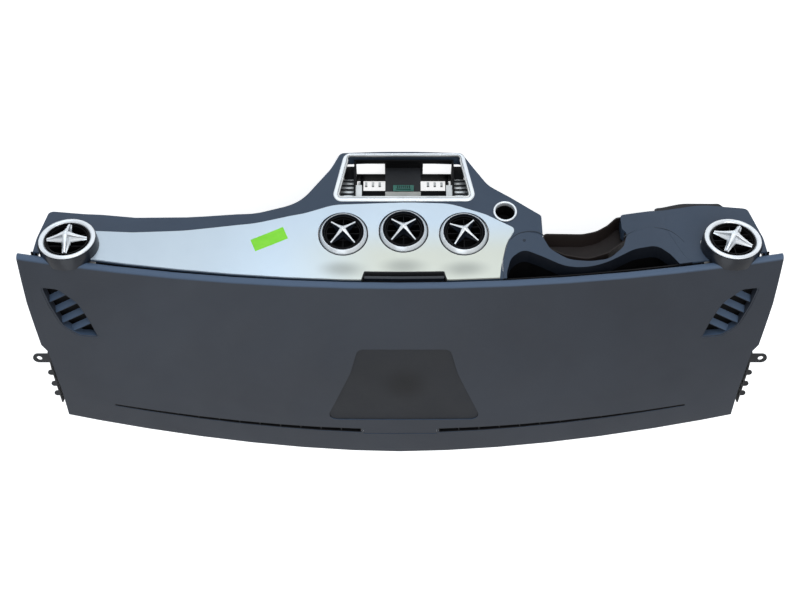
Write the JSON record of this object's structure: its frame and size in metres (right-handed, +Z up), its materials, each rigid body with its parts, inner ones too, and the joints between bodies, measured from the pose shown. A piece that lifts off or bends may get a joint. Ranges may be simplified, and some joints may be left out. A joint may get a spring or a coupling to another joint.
{
  "type": "car dashboard assembly",
  "caption": "Bare car dashboard with a dark top pad, silver centre trim, round air vents with cross grips, an empty radio bay and an empty instrument opening.",
  "frame": {"origin": "midway between the two fixing holes in the end brackets, level with the middle of their tongues", "axes": "+X to the passenger side (the right of someone facing the windscreen), +Y towards the windscreen, +Z up"},
  "size_m": [1.48, 0.6, 0.3137],
  "materials": {
    "pad_skin": "soft grained dark slate skin",
    "panel_plastic": "grained blue grey moulding",
    "silver_trim": "satin silver lacquer",
    "bright_trim": "satin chrome",
    "black_plastic": "plain black moulding",
    "gloss_black": "smooth dark blue black",
    "speaker_mesh": "fine dark mesh",
    "bracket_black": "black coated steel",
    "bay_steel": "bare pressed steel",
    "green_plastic": "green moulded connector",
    "label_green": "bright green paper"
  },
  "bodies": {
    "dashboard": {"top_pad": "pad_skin", "speaker_cover": "speaker_mesh", "defroster_centre_cover": "panel_plastic", "defroster_grille_passenger": "black_plastic", "defroster_grille_driver": "black_plastic", "side_defroster_passenger": "pad_skin", "side_defroster_driver": "pad_skin", "lower_panel": "panel_plastic", "driver_panel": "panel_plastic", "trim_panel": "silver_trim", "cluster_surround": "panel_plastic", "cluster_housing": "black_plastic", "column_wall": "black_plastic", "light_switch_box": "black_plastic", "display_tray": "black_plastic", "display_flap": "gloss_black", "radio_frame": "bright_trim", "radio_bay": "black_plastic", "radio_module": "black_plastic", "module_connector": "green_plastic", "radio_clip_right": "bay_steel", "radio_clip_left": "bay_steel", "start_ring": "bright_trim", "start_socket": "black_plastic", "stock_label": "label_green", "end_bracket_passenger": "bracket_black", "end_bracket_driver": "bracket_black", "passenger_vent_housing": "black_plastic", "passenger_vent_bezel": "bright_trim", "centre_vent_right_housing": "black_plastic", "centre_vent_right_bezel": "bright_trim", "centre_vent_middle_housing": "black_plastic", "centre_vent_middle_bezel": "bright_trim", "centre_vent_left_housing": "black_plastic", "centre_vent_left_bezel": "bright_trim", "driver_vent_housing": "black_plastic", "driver_vent_bezel": "bright_trim"},
    "passenger_vent_gimbal": {"passenger_vent_gimbal": "black_plastic"},
    "passenger_vent_nozzle": {"passenger_vent_nozzle": "black_plastic"},
    "passenger_vent_grip": {"passenger_vent_grip": "bright_trim"},
    "centre_vent_right_gimbal": {"centre_vent_right_gimbal": "black_plastic"},
    "centre_vent_right_nozzle": {"centre_vent_right_nozzle": "black_plastic"},
    "centre_vent_right_grip": {"centre_vent_right_grip": "bright_trim"},
    "centre_vent_middle_gimbal": {"centre_vent_middle_gimbal": "black_plastic"},
    "centre_vent_middle_nozzle": {"centre_vent_middle_nozzle": "black_plastic"},
    "centre_vent_middle_grip": {"centre_vent_middle_grip": "bright_trim"},
    "centre_vent_left_gimbal": {"centre_vent_left_gimbal": "black_plastic"},
    "centre_vent_left_nozzle": {"centre_vent_left_nozzle": "black_plastic"},
    "centre_vent_left_grip": {"centre_vent_left_grip": "bright_trim"},
    "driver_vent_gimbal": {"driver_vent_gimbal": "black_plastic"},
    "driver_vent_nozzle": {"driver_vent_nozzle": "black_plastic"},
    "driver_vent_grip": {"driver_vent_grip": "bright_trim"}
  },
  "joints": [
    {"name": "passenger_vent_tilt", "type": "hinge", "parent": "dashboard", "child": "passenger_vent_gimbal", "pos_m": [0.632, -0.26446, -0.03492], "axis": [1, 0, 0], "range_deg": [-15, 15]},
    {"name": "passenger_vent_swing", "type": "hinge", "parent": "passenger_vent_gimbal", "child": "passenger_vent_nozzle", "pos_m": [0.632, -0.26446, -0.03492], "axis": [0, 0.1736, 0.9848], "range_deg": [-15, 15]},
    {"name": "passenger_vent_turn", "type": "hinge", "parent": "passenger_vent_nozzle", "child": "passenger_vent_grip", "pos_m": [0.632, -0.26446, -0.03492], "axis": [0, -0.9848, 0.1736], "range_deg": [0, 90]},
    {"name": "centre_vent_right_tilt", "type": "hinge", "parent": "dashboard", "child": "centre_vent_right_gimbal", "pos_m": [0.111, -0.24064, -0.09219], "axis": [1, 0, 0], "range_deg": [-15, 15]},
    {"name": "centre_vent_right_swing", "type": "hinge", "parent": "centre_vent_right_gimbal", "child": "centre_vent_right_nozzle", "pos_m": [0.111, -0.24064, -0.09219], "axis": [0, 0.4067, 0.9135], "range_deg": [-15, 15]},
    {"name": "centre_vent_right_turn", "type": "hinge", "parent": "centre_vent_right_nozzle", "child": "centre_vent_right_grip", "pos_m": [0.111, -0.24064, -0.09219], "axis": [0, -0.9135, 0.4067], "range_deg": [0, 90]},
    {"name": "centre_vent_middle_tilt", "type": "hinge", "parent": "dashboard", "child": "centre_vent_middle_gimbal", "pos_m": [-0.007, -0.24242, -0.09969], "axis": [1, 0, 0], "range_deg": [-15, 15]},
    {"name": "centre_vent_middle_swing", "type": "hinge", "parent": "centre_vent_middle_gimbal", "child": "centre_vent_middle_nozzle", "pos_m": [-0.007, -0.24242, -0.09969], "axis": [0, 0.4067, 0.9135], "range_deg": [-15, 15]},
    {"name": "centre_vent_middle_turn", "type": "hinge", "parent": "centre_vent_middle_nozzle", "child": "centre_vent_middle_grip", "pos_m": [-0.007, -0.24242, -0.09969], "axis": [0, -0.9135, 0.4067], "range_deg": [0, 90]},
    {"name": "centre_vent_left_tilt", "type": "hinge", "parent": "dashboard", "child": "centre_vent_left_gimbal", "pos_m": [-0.125, -0.24106, -0.09219], "axis": [1, 0, 0], "range_deg": [-15, 15]},
    {"name": "centre_vent_left_swing", "type": "hinge", "parent": "centre_vent_left_gimbal", "child": "centre_vent_left_nozzle", "pos_m": [-0.125, -0.24106, -0.09219], "axis": [0, 0.4067, 0.9135], "range_deg": [-15, 15]},
    {"name": "centre_vent_left_turn", "type": "hinge", "parent": "centre_vent_left_nozzle", "child": "centre_vent_left_grip", "pos_m": [-0.125, -0.24106, -0.09219], "axis": [0, -0.9135, 0.4067], "range_deg": [0, 90]},
    {"name": "driver_vent_tilt", "type": "hinge", "parent": "dashboard", "child": "driver_vent_gimbal", "pos_m": [-0.632, -0.26446, -0.03492], "axis": [1, 0, 0], "range_deg": [-15, 15]},
    {"name": "driver_vent_swing", "type": "hinge", "parent": "driver_vent_gimbal", "child": "driver_vent_nozzle", "pos_m": [-0.632, -0.26446, -0.03492], "axis": [0, 0.1736, 0.9848], "range_deg": [-15, 15]},
    {"name": "driver_vent_turn", "type": "hinge", "parent": "driver_vent_nozzle", "child": "driver_vent_grip", "pos_m": [-0.632, -0.26446, -0.03492], "axis": [0, -0.9848, 0.1736], "range_deg": [0, 90]}
  ]
}
